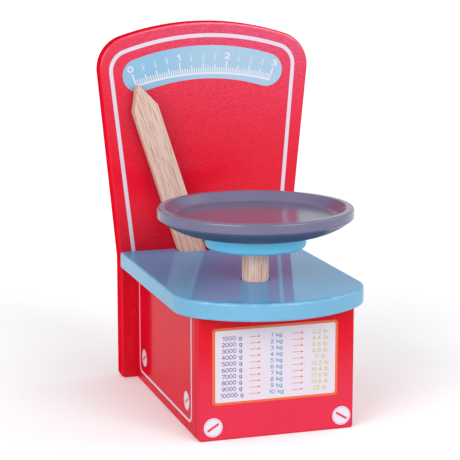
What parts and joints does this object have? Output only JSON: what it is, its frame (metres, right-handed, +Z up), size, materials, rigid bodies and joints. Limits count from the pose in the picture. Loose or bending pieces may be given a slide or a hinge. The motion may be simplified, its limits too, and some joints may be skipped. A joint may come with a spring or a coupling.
{
  "type": "toy counter scale",
  "caption": "Wooden toy scale: red box with a blue shelf, a round pan on a sprung post, a tall back board with a dial, and a wooden pointer that swings when the pan is pressed.",
  "frame": {"origin": "on the ground under the centre of the whole outline", "axes": "+X to the right seen from the front, +Y from the front panel towards the back board, +Z up"},
  "size_m": [0.191, 0.242, 0.317],
  "materials": {
    "red_lacquer": "gloss red lacquer on board",
    "sky_lacquer": "gloss light blue lacquer on wood",
    "slate_lacquer": "satin grey-blue lacquer on turned wood",
    "bare_wood": "sanded pale hardwood with a clear matt seal",
    "inner_wood": "bare sanded wood",
    "steel": "zinc plated"
  },
  "bodies": {
    "housing": {"back_board": "red_lacquer", "front_panel": "red_lacquer", "left_side_panel": "red_lacquer", "right_side_panel": "red_lacquer", "base_panel": "inner_wood", "left_base_batten": "inner_wood", "right_base_batten": "inner_wood", "base_screws": "steel", "back_screws": "steel", "shelf_dowels": "inner_wood", "front_dowels": "inner_wood", "top_shelf": "sky_lacquer", "guide_rod": "inner_wood", "return_spring": "steel", "pivot_screw": "steel", "pivot_washer": "steel", "pivot_spacer": "inner_wood"},
    "pan_carriage": {"weighing_pan": "slate_lacquer", "pan_collar": "sky_lacquer", "collar_screws": "steel", "post": "bare_wood", "drive_arm": "inner_wood", "arm_screw": "steel", "drive_pin": "inner_wood"},
    "pointer_arm": {"pointer": "bare_wood", "pointer_lever": "inner_wood", "lever_screws": "steel"}
  },
  "joints": [
    {"name": "pan_press", "type": "slide", "parent": "housing", "child": "pan_carriage", "axis": [0, 0, -1], "range_m": [0, 0.018], "stiffness_N_per_m": 800, "springref_m": -0.008, "deforming": ["return_spring"]},
    {"name": "pointer_swing", "type": "hinge", "parent": "housing", "child": "pointer_arm", "pos_m": [0, 0.107, 0.066], "axis": [0, 1, 0], "range_deg": [0, 36]}
  ],
  "couplings": [
    {"joint": "pointer_swing", "follows": "pan_press", "rad_per_m": 34.9}
  ]
}
